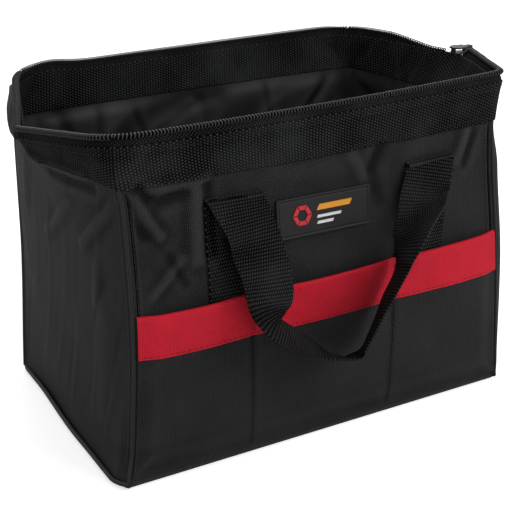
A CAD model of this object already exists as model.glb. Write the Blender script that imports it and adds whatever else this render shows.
"""A zippered tool bag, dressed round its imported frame.

The origin is the centre of the bag's base on the floor. +X runs right as seen from the front, +Y to
the back and +Z up. Shapes are worked out in millimetres and become metres as they are meshed.
"""
import math
from functools import partial

import bmesh
import bpy
import numpy as np
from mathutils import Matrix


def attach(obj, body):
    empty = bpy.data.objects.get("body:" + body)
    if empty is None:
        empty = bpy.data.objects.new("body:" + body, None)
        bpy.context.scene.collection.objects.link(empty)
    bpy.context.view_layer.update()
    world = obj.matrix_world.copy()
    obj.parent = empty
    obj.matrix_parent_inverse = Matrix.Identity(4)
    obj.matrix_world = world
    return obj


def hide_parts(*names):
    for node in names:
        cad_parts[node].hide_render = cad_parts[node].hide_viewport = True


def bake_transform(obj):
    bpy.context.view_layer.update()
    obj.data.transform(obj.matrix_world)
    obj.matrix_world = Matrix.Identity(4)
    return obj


bl_info = {
    "name": "Zippered Tool Bag",
    "version": (1, 0, 0),
    "blender": (4, 5, 0),
    "location": "3D View > Sidebar > Tool Bag",
    "description": "Sews the cloth, webbing and zip of a small tool bag over its frame",
    "category": "Add Mesh",
}

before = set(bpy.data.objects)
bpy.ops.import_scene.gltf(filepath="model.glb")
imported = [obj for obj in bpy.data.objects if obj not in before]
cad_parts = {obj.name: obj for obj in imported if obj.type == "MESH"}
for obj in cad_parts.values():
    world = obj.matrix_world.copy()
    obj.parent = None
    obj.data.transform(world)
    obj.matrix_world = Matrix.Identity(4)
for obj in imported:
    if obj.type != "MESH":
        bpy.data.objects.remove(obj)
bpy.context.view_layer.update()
MM = 0.001

# The bag's body
WALL_HALF = 149.0
BASE_HALF = 96.0
END_LENGTH = 100.0
BAG_HEIGHT = 232.0
CLOTH_THICK = 1.5
SHAPE_LEVELS = np.array([0.0, 0.43, 0.83, 1.0])
POINTED_FROM = 0.72
FLOOR_TURN = 4.0
FLOOR_UP = 5.5
LINED_CLOTH = ["Black bag cloth", "Satin lining"]

# The hump of the rim beside a corner: its width, its distance from the seam and its heights
HUMP_WIDTH = 18
HUMP_PLACE = 28
HUMP_HEIGHTS = (200, 228)

# How skins are meshed: the crease that counts as full, the share of a sheet's thickness by which
# its edge is rounded, and the spacing of columns with the part beside a corner that has more
FULL_CREASE = 0.45
EDGE_ROUND = 0.45
COLUMN_PITCH = 2.4
CORNER_PART = 10.0
CORNER_COLUMNS = 19
ROW_PITCH = 2.6
TUBE_SIDES = 12

# Heights round the mouth
BAND_FOOT = 199.0
BAND_TOP = 224.0
CLOTH_TOP = 221.0
FACING_TOP = 224.5
TAPE_TOP = 229.3
TAIL_FOOT = 204.0
BAND_STITCHES = (202.0, 220.5)
RIM_REACH = 0.997

# The zip's coil: its centre, the half axes of its helix and of the cord inside, and how low the
# cord lies. A turn of the coil crosses to the next one by its step, underneath.
COIL_CENTRE = 230.3
COIL_OUT = -0.75
COIL_HALF_WIDE = 2.3
COIL_HALF_HIGH = 1.5
COIL_STEP = 0.9
COIL_TURN_POINTS = 12
CORD_HALF_WIDE = 1.5
CORD_HALF_HIGH = 1.0
CORD_DROP = 0.4

# Pockets
POCKET_SEAM_LEFT = -62.0
POCKET_SEAM_RIGHT = 48.0
POCKET_FOOT = 8.2
POCKET_TOP = 118.0
POCKET_THICK = 1.2
POCKET_POUCH = 3.2
POCKET_EASE = 14.0
POCKET_TILT = 0.012
BINDING_WIDE = 28.0
BINDING_TURN = 4.0
BINDING_FOOT = POCKET_TOP - BINDING_WIDE
SEAM_INSET = 2.2

# Piping, and the distances of the stitched grooves from the seam on the wall's and the end's side
PIPING_HEIGHTS = (3.4, 200.0)
PIPING_RADIUS = 1.4
BOTTOM_PIPING_RADIUS = 1.8
WALL_GROOVE = 3.6
END_GROOVE = 1.8

# Straps and handles. A strap is given by its middle at the strap level and by its lean.
STRAP_HALF = 19.0
STRAP_THICK = 1.6
STRAP_FOOT = 24.0
STRAP_LEVEL = 114.0
STRAP_TOP = 181.0
STRAPS = {"left": (-70.0, 0.045), "right": (70.0, 0.18)}
STRAP_COLUMNS = np.linspace(-1, 1, 15)
LAYER_GAP = 0.5
STRAP_FACE = LAYER_GAP + STRAP_THICK
FOLD_RADIUS = 1.3
DOT_SHIFT = 0.475
HANG_SAMPLES = 4000

# Stitches
STITCH_LONG = 3.0
STITCH_SPACE = 1.1
STITCH_WIDE = 0.55
STITCH_ARCH = 0.28
STITCH_PROFILE = np.array([0.25, 0.8, 1.0, 1.0, 0.8, 0.25])
SEAM_STITCHES = (12, 192)

# Badge
BADGE_WIDE = 71.0
BADGE_HIGH = 26.5
BADGE_CENTRE = np.array([-8.276, -97.756, 160.648])
BADGE_LEAN = 1.48102

# Where the walls stand, in metres, and the halves in which the pieces of an end are sewn
HALVES = {
    "front": {"keep": (-1.1, 0), "joined": "stop"}, "back": {"keep": (0, 1.1), "joined": "start"}}

# Camera, and lamps: name, setting of its power, place, height that it aims at and size
SENSOR_WIDE = 36.0
FOCAL_PIXELS = 1256.0
PICTURE_PIXELS = 510.0
CAMERA_PLACE = (-0.4274, -0.7333, 0.4304)
CAMERA_TILT = 68.5
CAMERA_TURN = -30.1
LAMPS = (
    ("Key", "key_power", (0.95, -1.15, 1.15), 0.1, 1.3),
    ("Fill", "fill_power", (-0.5, -1.9, 1.1), 0.12, 1.6),
    ("Left", "side_power", (-1.9, 0.2, 0.9), 0.12, 1.2),
    ("Back", "back_power", (0.8, 1.9, 1.1), 0.12, 1.4),
    ("Top", "top_power", (0.2, 0.6, 2.0), 0.15, 1.6),
)
FLOOR_HALF = 6.0
FLOOR_LEVEL = -0.0004
WHITE = (1, 1, 1, 1)

# Places of the upright seams and of the ends' tips: side, height reached, then how far each stands
# out from the base's edge at the four shape levels. A seam's round is how widely the mouth turns
# there, its flare how far its foot spreads, its kink how far it jumps out below the mouth band,
# and its hump how far the rim stands up beside it.
FRONT_LEFT = {"side": (-1, -1), "top": 231, "out": ((0, 0), (-4.5, 2), (-2, -1), (5, 0)),
              "round": 23, "flare": 4.5, "kink": 1.5, "hump": 0}
FRONT_RIGHT = {"side": (1, -1), "top": 234, "out": ((0, 0), (-10, 2), (-16, -4), (-6, -8)),
               "round": 2, "flare": 0, "kink": 0, "hump": 0}
BACK_LEFT = {"side": (-1, 1), "top": 231, "out": ((0, 0), (-5.5, 1), (-6, 0), (-8, -2)),
             "round": 12, "flare": 0, "kink": 0, "hump": 2.8}
BACK_RIGHT = {"side": (1, 1), "top": 232.5, "out": ((0, 0), (-3, 3), (-6, 4), (-3, 11)),
              "round": 22, "flare": 0, "kink": 0, "hump": 0}
LEFT_TIP = {"side": (-1, 0), "top": 217.5, "out": ((0, 0), (3, 0), (11, 0), (27, 0)),
            "flare": 0, "kink": 0}
RIGHT_TIP = {"side": (1, 0), "top": 230, "out": ((0, 0), (12, 0), (9, 0), (36, 0)),
             "flare": 0, "kink": 0}

# An end's puff is how far its cloth swells beside its front and back seams, its foot how far its
# lower edge bows out, its tuck how much of its mouth band is folded under at the middle, its dip
# how far the tape's edge dips, and its coils the CAD nodes and inner stops of the coil's halves.
LEFT_END = {
    "name": "left", "side": -1, "front": FRONT_LEFT, "back": BACK_LEFT, "tip": LEFT_TIP,
    "square": 3, "puff": (0, 0), "foot": 4.5, "tuck": 12, "dip": 0,
    "coils": ("left_zip_coil", "left_zip_coil"), "coil_stops": (0.0, 0.0),
}
RIGHT_END = {
    "name": "right", "side": 1, "front": FRONT_RIGHT, "back": BACK_RIGHT, "tip": RIGHT_TIP,
    "square": 5, "puff": (8, 4), "foot": 0, "tuck": 0, "dip": 4.8,
    "coils": ("right_zip_coil_front", "right_zip_coil_back"), "coil_stops": (-0.02, 0.16),
}
FRONT_WALL = {
    "name": "front", "side": -1, "left": FRONT_LEFT, "right": FRONT_RIGHT,
    "ends": (LEFT_END, RIGHT_END), "bulge": (0, 3, 1, 0), "square": 2, "sag": 2,
}
BACK_WALL = {
    "name": "back", "side": 1, "left": BACK_RIGHT, "right": BACK_LEFT,
    "ends": (RIGHT_END, LEFT_END), "bulge": (0, 4, 5, 8), "square": 3, "sag": 1,
}
WALLS = (FRONT_WALL, BACK_WALL)
ENDS = (LEFT_END, RIGHT_END)

# Folds in each skin: from and to (across or depth, height), width and height of the fold. A fold
# with a height below zero is a valley.
FRONT_WALL["folds"] = (
    ((-147, 197), (-138, 189), 3.4, -3.4),
    ((-137, 197), (-118, 166), 3.6, 3.6),
    ((-130, 199), (-122, 190), 4.0, -3.2),
    ((-139, 184), (-128, 166), 3.6, -1.8),
    ((-128, 195), (-84, 198), 4.0, 2.6),
    ((-118, 186), (-100, 190), 5.0, -2.0),
    ((-92, 192), (-95, 146), 5.5, 4.0),
    ((-83, 192), (-84, 150), 5.0, -2.6),
    ((-72, 186), (-72, 130), 12.0, -2.6),
    ((-127, 128), (-104, 149), 3.6, 1.4),
    ((-113, 152), (-104, 132), 3.6, -1.2),
    ((125, 194), (115, 172), 3.4, -1.7),
    ((117, 196), (107, 176), 4.0, 2.2),
    ((78, 198), (58, 172), 12.0, 2.2),
    ((47, 197), (38, 182), 6.0, -2.6),
    ((38, 182), (42, 160), 6.0, -2.0),
    ((22, 196), (30, 178), 5.0, 2.2),
    ((-34, 192), (24, 189), 10.0, 1.7),
    ((-40, 136), (30, 128), 12.0, 1.2),
)
BACK_WALL["folds"] = (
    ((-120, 190), (-96, 160), 5.0, 2.2),
    ((110, 196), (92, 158), 6.0, 2.2),
    ((-20, 190), (30, 184), 12.0, 1.8),
    ((70, 180), (74, 130), 12.0, -2.0),
    ((-70, 180), (-72, 130), 12.0, -2.0),
)
LEFT_END["folds"] = (
    ((-5, 213), (-23, 210.5), 3.0, 3.2),
    ((-23, 210.5), (-70, 207), 3.4, 3.2),
    ((-24, 204), (-74, 199), 4.0, -2.4),
    ((-92, 190), (-50, 160), 4.5, 2.4),
    ((-66, 150), (-60, 120), 4.0, 1.4),
    ((-40, 186), (10, 150), 5.0, 1.8),
    ((40, 190), (60, 150), 7.0, 1.8),
    ((-70, 120), (-60, 40), 12.0, 1.6),
)
RIGHT_END["folds"] = (
    ((-80, 190), (-40, 150), 6.0, 2.0),
    ((20, 196), (50, 150), 7.0, 2.0),
    ((-30, 120), (-20, 50), 12.0, 1.6),
)

# The hang of a handle, from its left root to its right root: share of the way across, drop,
# distance out, then the angles by which its width turns back and tips up
HANG = np.array([
    (0, -0.75, 0, 0, 0), (0.065, 20.6, 4, 11, 3), (0.088, 36, 6.4, 5, -3),
    (0.1, 49.6, 13.4, 5, -8), (0.092, 61.7, 18.3, 7, -18), (0.08, 71.4, 21, 26, -16),
    (0.083, 77.2, 24.2, 42, -14), (0.113, 82.3, 27.2, 55, -4), (0.244, 96.8, 26.5, 53, -9),
    (0.329, 105.8, 26.5, 55, -18), (0.382, 108.7, 28.3, 67, -20), (0.44, 111.5, 29.8, 64, -25),
    (0.479, 111, 30.6, 69, -24), (0.524, 107.1, 30.6, 60, -26), (0.566, 98.8, 29.6, 60, -24),
    (0.617, 86.8, 28.4, 60, -21), (0.657, 76.2, 27.9, 62, -19), (0.696, 66, 28.3, 62, -17),
    (0.727, 57.4, 28, 66, -18), (0.747, 47.8, 26.9, 74, -14), (0.807, 36.8, 23.7, 106, -36),
    (0.896, 26.1, 12.8, 162, -26), (0.947, 15.5, 5.9, 177, 1), (1, -0.75, 0, 180, 0),
])


def smooth(places, values, place):
    """Smooth value at a place, through values set at rising places."""
    places = np.asarray(places, float)
    values = np.asarray(values, float)
    place = np.asarray(place, float)
    last = len(places) - 1
    i = np.clip(np.searchsorted(places, place, side="left") - 1, 0, last - 1)
    before = np.maximum(np.arange(last + 1) - 1, 0)
    after = np.minimum(np.arange(last + 1) + 1, last)
    tangent = (values[after] - values[before]) / (places[after] - places[before])
    span = places[i + 1] - places[i]
    f = (place - places[i]) / span
    start = values[i] * (1 + 2 * f) * (1 - f) ** 2 + values[i + 1] * f * f * (3 - 2 * f)
    return start + (tangent[i] * f * (1 - f) ** 2 - tangent[i + 1] * f * f * (1 - f)) * span


def ease(value, start, stop):
    """Smooth rise from 0 to 1 between start and stop."""
    f = np.clip((value - start) / (stop - start), 0, 1)
    return f * f * (3 - 2 * f)


def unit(vectors):
    return vectors / np.maximum(np.linalg.norm(vectors, axis=-1, keepdims=True), 1e-9)


def line_point(line, level):
    """Point of an upright line at a share of the height."""
    level = np.asarray(level, float)
    flare = line["flare"] * (1 - ease(level, 0, 0.11))
    kink = line["kink"] * ease(level, 0.8, 0.86) * (1 - ease(level, 0.89, 1))
    out_x = smooth(SHAPE_LEVELS, [pair[0] for pair in line["out"]], level) + flare + kink
    out_y = smooth(SHAPE_LEVELS, [pair[1] for pair in line["out"]], level) + flare
    x = line["side"][0] * (WALL_HALF + out_x)
    y = line["side"][1] * (BASE_HALF + out_y)
    return np.stack([x, y, level * line["top"]], -1)


def wall_span(wall, height):
    """Width of a wall between its two seams."""
    level = np.asarray(height, float) / BAG_HEIGHT
    ends = line_point(wall["left"], level) - line_point(wall["right"], level)
    return np.linalg.norm(ends, axis=-1)


def unevenness(x, z, seed, size):
    """Soft waviness of handled cloth, about one unit high at most."""
    total = np.zeros(np.broadcast(x, z).shape)
    for n in range(5):
        angle = seed * 1.7 + n * 2.4
        wave = (x * math.cos(angle) + z * math.sin(angle)) / (size * (1 + 0.37 * n))
        total += np.sin(2 * math.pi * wave + seed * 3.1 + n) / (1 + 0.5 * n)
    return total / 3


def fold_relief(folds, x, z):
    """How far a skin's folds stand out at a place."""
    total = np.zeros(np.broadcast(x, z).shape)
    for (x0, z0), (x1, z1), width, height in folds:
        dx, dz = x1 - x0, z1 - z0
        along = ((x - x0) * dx + (z - z0) * dz) / (dx * dx + dz * dz)
        held = np.clip(along, 0, 1)
        away = np.hypot(x - x0 - held * dx, z - z0 - held * dz)
        fade = 0.35 + 0.65 * np.sin(math.pi * np.clip(along * 0.7 + 0.15, 0, 1))
        total += height * fade * np.exp(-((away / width) ** 2))
    return total


def crumple(x, z, seed, size):
    """Thin creases where handled cloth was once folded, up to one unit high."""
    wave = unevenness(x, z * 0.6, seed, size)
    strength = 0.5 + 0.5 * unevenness(x, z, seed + 4, size * 1.4)
    return np.exp(-((wave / 0.13) ** 2)) * np.clip(strength, 0, 1)


def wall_point(wall, across, height, out):
    """Point on a wall: across runs to the right as seen from outside, from the wall's middle."""
    height = np.asarray(height, float)
    level = height / BAG_HEIGHT
    left = line_point(wall["left"], level)
    right = line_point(wall["right"], level)
    share = 0.5 + across / wall_span(wall, height)
    full = 1 - np.abs(2 * share - 1) ** wall["square"]
    point = left + (right - left) * share[..., None]
    point[..., 1] += wall["side"] * (smooth(SHAPE_LEVELS, wall["bulge"], level) * full + out)
    point[..., 2] -= wall["sag"] * level**4 * full
    return point


def end_point(end, depth, height, out):
    """Point on an end: depth runs from -1 at the front seam to 1 at the back seam."""
    height = np.asarray(height, float)
    level = height / BAG_HEIGHT
    front = line_point(end["front"], level)
    back = line_point(end["back"], level)
    middle = (front + back) / 2
    power = end["square"] - (end["square"] - 1) * ease(level, POINTED_FROM, 1)
    full = 1 - np.abs(depth) ** power
    point = middle + (back - front) * (depth / 2)[..., None]
    point += (line_point(end["tip"], level) - middle) * full[..., None]
    point[..., 0] += end["side"] * out
    return point


def wall_relief(wall, across, height):
    span = wall_span(wall, height)
    from_seam = span / 2 - np.abs(across)
    seed = 1.0 if wall["side"] < 0 else 4.0
    total = fold_relief(wall["folds"], across, height)
    total = total + 0.5 * unevenness(across, height, seed, 74)
    return total * ease(from_seam, 1, 14) * ease(height, 8, 40)


def foot_bow(end, depth):
    """How far an end's lower edge bows out."""
    return end["foot"] * ease(depth, -1.0, -0.86) * (1 - ease(depth, -0.3, 0.65))


def end_relief(end, depth, height):
    seed = 7.0 if end["side"] < 0 else 9.0
    across = depth * END_LENGTH
    from_seam = END_LENGTH * (1 - np.abs(depth))
    total = fold_relief(end["folds"], across, height)
    total = total + 0.6 * unevenness(across, height, seed, 66)
    total = total + 0.65 * crumple(across * 1.7, height * 0.7, seed + 1, 56)
    total = total - 0.5 * crumple(across * 1.9, height * 0.8, seed + 3, 50)
    total = total * ease(from_seam, 1, 14) * ease(height, 8, 40)
    swell = np.where(depth < 0, end["puff"][0], end["puff"][1])
    swell = swell * (1 - np.exp(-from_seam / 4)) * np.exp(-from_seam / 14)
    total = total + swell * ease(height, 4, 16) * (1 - ease(height, 165, 198))
    return total + foot_bow(end, depth) * (1 - ease(height, 3, 80))


def corner_reach(line, height):
    """How far from a seam the skin turns round the corner."""
    return 1.5 + 4.5 * ease(height, 180, 203) + line["round"] * ease(height, 201, 230)


def flat_wall(wall, across, height, out):
    """Point on a wall with its folds, before its corners are rounded."""
    return wall_point(wall, across, height, out + wall_relief(wall, across, height))


def flat_end(end, depth, height, out):
    """Point on an end with its folds, before its corners are rounded."""
    return end_point(end, depth, height, out + end_relief(end, depth, height))


def turn_corner(point, from_seam, line, height, out, start, stop, hump_at):
    """A skin's points, turned round a corner near its seam and lifted by the rim's hump."""
    reach = corner_reach(line, height)
    t = np.clip(0.5 * (1 - from_seam / reach), 0, 1)[..., None]
    corner = line_point(line, height / BAG_HEIGHT)
    corner[..., 0] += line["side"][0] * out
    corner[..., 1] += line["side"][1] * out
    near = (1 - t) ** 2 * start + 2 * t * (1 - t) * corner + t * t * stop
    point = np.where((from_seam < reach)[..., None], near, point)
    hump = np.exp(-(((from_seam - hump_at) / HUMP_WIDTH) ** 2))
    point[..., 2] += line["hump"] * ease(height, *HUMP_HEIGHTS) * hump
    return point


def wall_skin(wall, share, height, out):
    """Point on a wall's skin with its folds and rounded corners. share runs from -1 to 1."""
    share, height, out = np.broadcast_arrays(*(np.asarray(v, float) for v in (share, height, out)))
    half = wall_span(wall, height) / 2
    point = flat_wall(wall, share * half, height, out)
    for sign, line, end in zip((-1, 1), (wall["left"], wall["right"]), wall["ends"]):
        reach = corner_reach(line, height)
        start = flat_wall(wall, sign * (half - reach), height, out)
        stop = flat_end(end, wall["side"] * (1 - reach / END_LENGTH), height, out)
        point = turn_corner(point, half * (1 - sign * share), line, height, out, start, stop,
                            HUMP_PLACE)
    return point


def end_skin(end, depth, height, out):
    """Point on an end's skin with its folds and rounded corners."""
    depth, height, out = np.broadcast_arrays(*(np.asarray(v, float) for v in (depth, height, out)))
    point = flat_end(end, depth, height, out)
    for sign, line, wall in ((-1, end["front"], FRONT_WALL), (1, end["back"], BACK_WALL)):
        reach = corner_reach(line, height)
        start = flat_end(end, sign * (1 - reach / END_LENGTH), height, out)
        across = -sign * end["side"] * (wall_span(wall, height) / 2 - reach)
        stop = flat_wall(wall, across, height, out)
        point = turn_corner(point, END_LENGTH * (1 - sign * depth), line, height, out, start, stop,
                            -HUMP_PLACE)
    return point


def grid_normals(points):
    """Normals of a grid of points."""
    return unit(np.cross(np.gradient(points, axis=0), np.gradient(points, axis=1)))


def crease(points, normals):
    """How far each point of a grid stands above its neighbours, from -1 to 1."""
    spread = np.pad(points, ((2, 2), (2, 2), (0, 0)), mode="reflect", reflect_type="odd")
    m, n = points.shape[:2]
    around = sum(spread[2 + a:2 + a + m, 2 + b:2 + b + n]
                 for a, b in ((1, 0), (2, 0), (-1, 0), (-2, 0), (0, 1), (0, 2), (0, -1), (0, -2)))
    return np.clip(np.sum((points - around / 8) * normals, -1) / FULL_CREASE, -1, 1)


def mesh_piece(name, points, faces, materials, uvs=None, slots=None, normals=None, edge=None,
               fold=None):
    """Mesh object in metres, with its faces turned outwards and its shading smooth."""
    mesh = bpy.data.meshes.new(name)
    mesh.from_pydata((np.asarray(points) * MM).tolist(), [], faces)
    for material in materials:
        mesh.materials.append(bpy.data.materials[material])
    if slots is not None:
        mesh.polygons.foreach_set("material_index", np.asarray(slots, np.int32))
    work = bmesh.new()
    work.from_mesh(mesh)
    bmesh.ops.recalc_face_normals(work, faces=work.faces)
    work.to_mesh(mesh)
    work.free()
    mesh.polygons.foreach_set("use_smooth", np.ones(len(mesh.polygons), bool))
    if uvs is not None:
        corners = np.zeros(len(mesh.loops), np.int32)
        mesh.loops.foreach_get("vertex_index", corners)
        layer = mesh.uv_layers.new(name="Cloth")
        layer.uv.foreach_set("vector", (np.asarray(uvs) * MM)[corners].ravel())
    for label, values in (("edge", edge), ("fold", fold)):
        if values is not None:
            layer = mesh.attributes.new(label, "FLOAT", "POINT")
            layer.data.foreach_set("value", np.asarray(values, np.float32))
    if normals is not None:
        mesh.normals_split_custom_set_from_vertices(normals.tolist())
    piece = bpy.data.objects.new(name, mesh)
    bpy.context.scene.collection.objects.link(piece)
    return piece


def sheet(name, at, us, vs, inner, outer, materials, uv, keep=(-math.inf, math.inf),
          joined=None):
    """Closed sheet between an inner and an outer face, with rounded edges.

    at(u, v, out) gives points, inner and outer are distances out, keep is the range of u that
    this piece holds, and joined is the u side, "start" or "stop", that meets another piece.
    """
    u, v = np.meshgrid(us, vs, indexing="ij")
    kept = (u[:, 0] >= keep[0] - 1e-6) & (u[:, 0] <= keep[1] + 1e-6)
    outer, inner = (at(u, v, out(u, v) if callable(out) else np.full(u.shape, float(out)))
                    for out in (outer, inner))
    sign = np.sign(np.sum(grid_normals(outer) * (outer - inner)))
    normals = grid_normals(outer) * sign, grid_normals(inner) * -sign
    folds = [crease(face, normal)[kept].ravel() for face, normal in zip((outer, inner), normals)]
    normals = [normal[kept].reshape(-1, 3) for normal in normals]
    cloth = np.stack(uv(u, v), -1)[kept].reshape(-1, 2)
    m, n = outer[kept].shape[:2]
    outer, inner = outer[kept].reshape(-1, 3), inner[kept].reshape(-1, 3)

    # The loop of border points, and beyond it the rim that rounds the sheet's edge
    index = np.arange(m * n).reshape(m, n)
    loop = np.concatenate([index[:-1, 0], index[-1, :-1], index[:0:-1, -1], index[0, :0:-1]])
    row, column = np.divmod(loop, n)
    within = np.clip(row, 1, m - 2) * n + np.clip(column, 1, n - 2)
    outward = unit((outer + inner)[loop] - (outer + inner)[within])
    if joined:
        outward[row == (0 if joined == "start" else m - 1)] = 0
    thick = np.linalg.norm(outer[loop] - inner[loop], axis=-1, keepdims=True)
    middle = (outer + inner)[loop] / 2 + outward * thick * EDGE_ROUND
    rounded = np.linalg.norm(outward, axis=-1, keepdims=True) > 0.1
    normals.append(unit(np.where(rounded, outward, normals[0][loop])))

    face = np.stack([index[:-1, :-1], index[1:, :-1], index[1:, 1:], index[:-1, 1:]], -1)
    face = face.reshape(-1, 4)
    rim = 2 * m * n + np.arange(len(loop))
    after, rim_after = np.roll(loop, -1), np.roll(rim, -1)
    faces = np.concatenate([face, face[:, ::-1] + m * n,
                            np.stack([loop, after, rim_after, rim], -1),
                            np.stack([rim, rim_after, after + m * n, loop + m * n], -1)])
    slots = np.zeros(len(faces), int)
    slots[len(face):2 * len(face)] = len(materials) - 1
    edge = np.zeros(2 * m * n + len(loop))
    edge[np.concatenate([loop, loop + m * n, rim])] = 1
    return mesh_piece(name, np.concatenate([outer, inner, middle]), faces.tolist(), materials,
                      np.concatenate([cloth, cloth, cloth[loop]]), slots, np.concatenate(normals),
                      edge, np.concatenate([*folds, folds[0][loop]]))


def tube_faces(count, size, start=0):
    """Faces of a tube of count rings of size points each, with both ends capped."""
    index = start + np.arange(count * size).reshape(count, size)
    after = np.roll(index, -1, axis=1)
    faces = np.stack([index[:-1], after[:-1], after[1:], index[1:]], -1).reshape(-1, 4).tolist()
    return faces + [index[0][::-1].tolist(), index[-1].tolist()]


def tube(name, rings, material, uvs=None):
    """Mesh through rings of points."""
    flat_uv = None if uvs is None else uvs.reshape(-1, 2)
    return mesh_piece(name, rings.reshape(-1, 3), tube_faces(*rings.shape[:2]), [material], flat_uv)


def rings_round(centre, side, top, count, across, high):
    """Oval rings of count points round a path, so far across its side and so high its top."""
    angle = np.linspace(0, 2 * math.pi, count, endpoint=False)[:, None]
    return (centre[:, None] + across * np.cos(angle) * side[:, None]
            + high * np.sin(angle) * top[:, None])


def lengths_along(path):
    """Length gone at each point of a path."""
    gone = np.linalg.norm(np.diff(path, axis=0), axis=-1)
    return np.concatenate([[0], np.cumsum(gone)])


def picked(places, gone, values):
    """Values along a path, at places given by their length along it."""
    return np.stack([np.interp(places, gone, values[:, axis]) for axis in range(3)], -1)


def round_tube(name, path, radius, material, up=(0, 0, 1.0)):
    tangent = unit(np.gradient(path, axis=0))
    side = unit(np.cross(tangent, up))
    radius = np.broadcast_to(radius, (len(path),))[:, None, None]
    rings = rings_round(path, side, np.cross(side, tangent), TUBE_SIDES, radius, radius)
    angle = np.linspace(0, 2 * math.pi, TUBE_SIDES, endpoint=False)
    uvs = np.broadcast_arrays(angle * radius[:, :, 0], lengths_along(path)[:, None])
    return tube(name, rings, material, np.stack(uvs, -1))


class Nodes:
    """Short hand for building a shader node tree."""

    def __init__(self, tree):
        self.tree = tree

    def link(self, value, socket):
        self.tree.links.new(value, socket)

    def add(self, kind, inputs=None, **settings):
        node = self.tree.nodes.new(kind)
        for key, value in settings.items():
            setattr(node, key, value)
        for key, value in (inputs or {}).items():
            if isinstance(value, bpy.types.NodeSocket):
                self.link(value, node.inputs[key])
            else:
                node.inputs[key].default_value = value
        return node

    def sum(self, operation, *values, clamp=False):
        inputs = dict(enumerate(values))
        return self.add("ShaderNodeMath", inputs, operation=operation, use_clamp=clamp).outputs[0]

    def group(self, name, inputs):
        return self.add("ShaderNodeGroup", inputs, node_tree=bpy.data.node_groups[name]).outputs

    def mix(self, factor, low, high):
        """Colour between low and high."""
        node = self.add("ShaderNodeMix", {0: factor, 6: low, 7: high}, data_type="RGBA")
        return node.outputs[2]


def new_group(name, inputs, outputs):
    """Node group. An input is given with its plain value, or with None where it is a vector."""
    group = bpy.data.node_groups.new(name, "ShaderNodeTree")
    for label, value in inputs.items():
        kind = "NodeSocketVector" if value is None else "NodeSocketFloat"
        socket = group.interface.new_socket(label, in_out="INPUT", socket_type=kind)
        if value is not None:
            socket.default_value = value
    for label in outputs:
        group.interface.new_socket(label, in_out="OUTPUT", socket_type="NodeSocketFloat")
    nodes = Nodes(group)
    return nodes, nodes.add("NodeGroupInput").outputs, nodes.add("NodeGroupOutput").inputs


def build_plain_weave():
    """Square weave of coated yarn. Height is 1 on the yarns' crowns."""
    n, given, out = new_group("Plain weave", {"Vector": None, "Pitch": 0.001}, ["Height"])
    scaled = n.sum("DIVIDE", math.pi, given["Pitch"])
    wobble = n.add("ShaderNodeTexNoise", {"Vector": given["Vector"], "Scale": 160.0, "Detail": 1.0})
    shifted = n.add("ShaderNodeVectorMath", {0: wobble.outputs["Color"], 1: (0.0004,) * 3},
                    operation="MULTIPLY")
    moved = n.add("ShaderNodeVectorMath", {0: given["Vector"], 1: shifted.outputs[0]},
                  operation="ADD")
    place = n.add("ShaderNodeSeparateXYZ", {0: moved.outputs[0]}).outputs
    warp = n.sum("SINE", n.sum("MULTIPLY", place["X"], scaled))
    weft = n.sum("SINE", n.sum("MULTIPLY", place["Y"], scaled))
    over = n.sum("GREATER_THAN", n.sum("MULTIPLY", warp, weft), 0.0)
    warp_crown = n.sum("POWER", n.sum("ABSOLUTE", warp), 1.1)
    weft_crown = n.sum("POWER", n.sum("ABSOLUTE", weft), 1.1)
    crown = n.add("ShaderNodeMix", {0: over, 2: weft_crown, 3: warp_crown}).outputs[0]
    bulge = n.sum("MULTIPLY", warp_crown, weft_crown)
    n.link(n.sum("MULTIPLY_ADD", bulge, 0.55, n.sum("MULTIPLY", crown, 0.45)), out["Height"])


def build_webbing_weave():
    """Heavy webbing: ribs across its length, broken into dashes that step over row by row."""
    n, given, out = new_group(
        "Webbing weave", {"Vector": None, "Rib": 0.002, "Dash": 0.002}, ["Height"])
    place = n.add("ShaderNodeSeparateXYZ", {0: given["Vector"]}).outputs
    row = n.sum("DIVIDE", place["Y"], given["Rib"])
    rib = n.sum("ABSOLUTE", n.sum("SINE", n.sum("MULTIPLY", row, math.pi)))
    step = n.sum("MULTIPLY", n.sum("FLOOR", row), 0.5)
    column = n.sum("ADD", n.sum("DIVIDE", place["X"], given["Dash"]), step)
    dash = n.sum("ABSOLUTE", n.sum("SINE", n.sum("MULTIPLY", column, math.pi)))
    crown = n.sum("MULTIPLY", n.sum("POWER", rib, 1.4), n.sum("POWER", dash, 2.2))
    n.link(n.sum("MULTIPLY_ADD", crown, 0.95, n.sum("MULTIPLY", rib, 0.05)), out["Height"])


def build_handling():
    """Wear from use. Shade is a cloudy value round 0, Rub is 1 on rubbed spots and edges."""
    n, given, out = new_group("Handling", {"Vector": None, "Edge": 0.0}, ["Shade", "Rub"])
    cloud = n.add("ShaderNodeTexNoise", {"Vector": given["Vector"], "Scale": 14.0, "Detail": 4.0,
                                         "Roughness": 0.62}).outputs[0]
    speck = n.add("ShaderNodeTexNoise", {"Vector": given["Vector"], "Scale": 420.0, "Detail": 2.0})
    rubbed = n.add("ShaderNodeMapRange", {0: cloud, 1: 0.55, 2: 0.8}).outputs[0]
    spots = n.add("ShaderNodeMapRange", {0: speck.outputs[0], 1: 0.42, 2: 0.72}).outputs[0]
    worn = n.sum("MAXIMUM", n.sum("MULTIPLY", rubbed, spots),
                 n.sum("MULTIPLY", given["Edge"], spots))
    n.link(n.sum("SUBTRACT", cloud, 0.5), out["Shade"])
    n.link(worn, out["Rub"])


def shade(colour, factor, lift=0.0):
    """A display colour as a node takes it, made darker or lighter."""
    linear = (c / 12.92 if c <= 0.04045 else ((c + 0.055) / 1.055) ** 2.4 for c in colour[:3])
    return tuple(min(c * factor + lift, 1.0) for c in linear) + (1.0,)


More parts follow.
